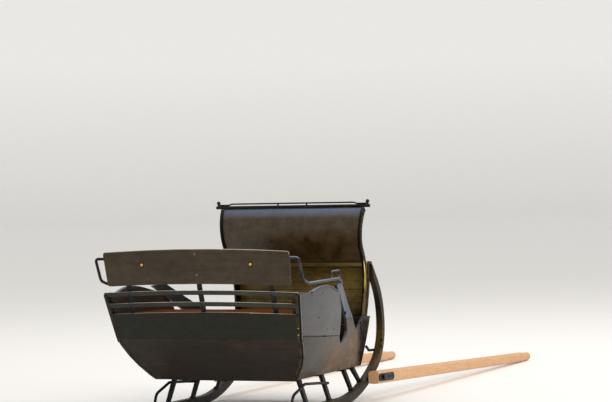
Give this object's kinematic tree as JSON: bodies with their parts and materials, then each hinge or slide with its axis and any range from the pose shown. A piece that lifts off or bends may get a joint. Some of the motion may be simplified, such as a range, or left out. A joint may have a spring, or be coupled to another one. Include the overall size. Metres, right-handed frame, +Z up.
{
  "type": "one-horse driving sleigh",
  "caption": "Horse-drawn sleigh with a boat-shaped plank body, curved dash, bent wooden runners on iron legs and two hinged draught shafts.",
  "frame": {"origin": "centre of the whole object's outline on the floor under the runners, shafts lowered", "axes": "+X to the right, +Y forward towards the shaft tips, +Z up"},
  "size_m": [1.062, 3.8114, 1.0241],
  "materials": {
    "painted_wood": "black-olive oil paint, satin, worn at the edges",
    "varnished_wood": "orange-brown varnish",
    "dash_sheet": "black-olive paint, satin",
    "black_iron": "forged, black paint",
    "shoe_steel": "worn bright underneath",
    "bare_wood": "peeled and planed pine, bare"
  },
  "bodies": {
    "sleigh": {"transom_lower": "painted_wood", "transom_upper": "painted_wood", "stern_rail_lower": "painted_wood", "stern_rail_upper": "painted_wood", "backrest": "painted_wood", "dash_boards": "painted_wood", "dash_ledge": "painted_wood", "side_upper_left": "painted_wood", "side_upper_right": "painted_wood", "side_lower_left": "painted_wood", "side_lower_right": "painted_wood", "side_stay_left": "painted_wood", "side_stay_right": "painted_wood", "corner_post_left": "painted_wood", "corner_post_right": "painted_wood", "dash_rib_left": "painted_wood", "dash_rib_right": "painted_wood", "runner_left": "painted_wood", "runner_right": "painted_wood", "seat_board": "varnished_wood", "seat_panel": "varnished_wood", "floor_boards": "varnished_wood", "dash_sheet": "dash_sheet", "back_straps": "black_iron", "dash_rod": "black_iron", "rein_rail": "black_iron", "leg_hoop_1": "black_iron", "leg_hoop_2": "black_iron", "leg_hoop_3": "black_iron", "leg_hoop_4": "black_iron", "rear_brace_left": "black_iron", "rear_brace_right": "black_iron", "horn_brace_left": "black_iron", "horn_brace_right": "black_iron", "arm_rail_left": "black_iron", "arm_rail_right": "black_iron", "shaft_pin_left": "black_iron", "shaft_pin_right": "black_iron", "runner_shoe_left": "shoe_steel", "runner_shoe_right": "shoe_steel"},
    "shaft_left": {"shaft_left": "bare_wood", "shaft_iron_left": "black_iron"},
    "shaft_right": {"shaft_right": "bare_wood", "shaft_iron_right": "black_iron"}
  },
  "joints": [
    {"name": "shaft_left_hinge", "type": "hinge", "parent": "sleigh", "child": "shaft_left", "pos_m": [-0.4325, -0.64352, 0.11561], "axis": [1, 0, 0], "range_deg": [0, 88]},
    {"name": "shaft_right_hinge", "type": "hinge", "parent": "sleigh", "child": "shaft_right", "pos_m": [0.4325, -0.64352, 0.11561], "axis": [1, 0, 0], "range_deg": [0, 88]}
  ]
}
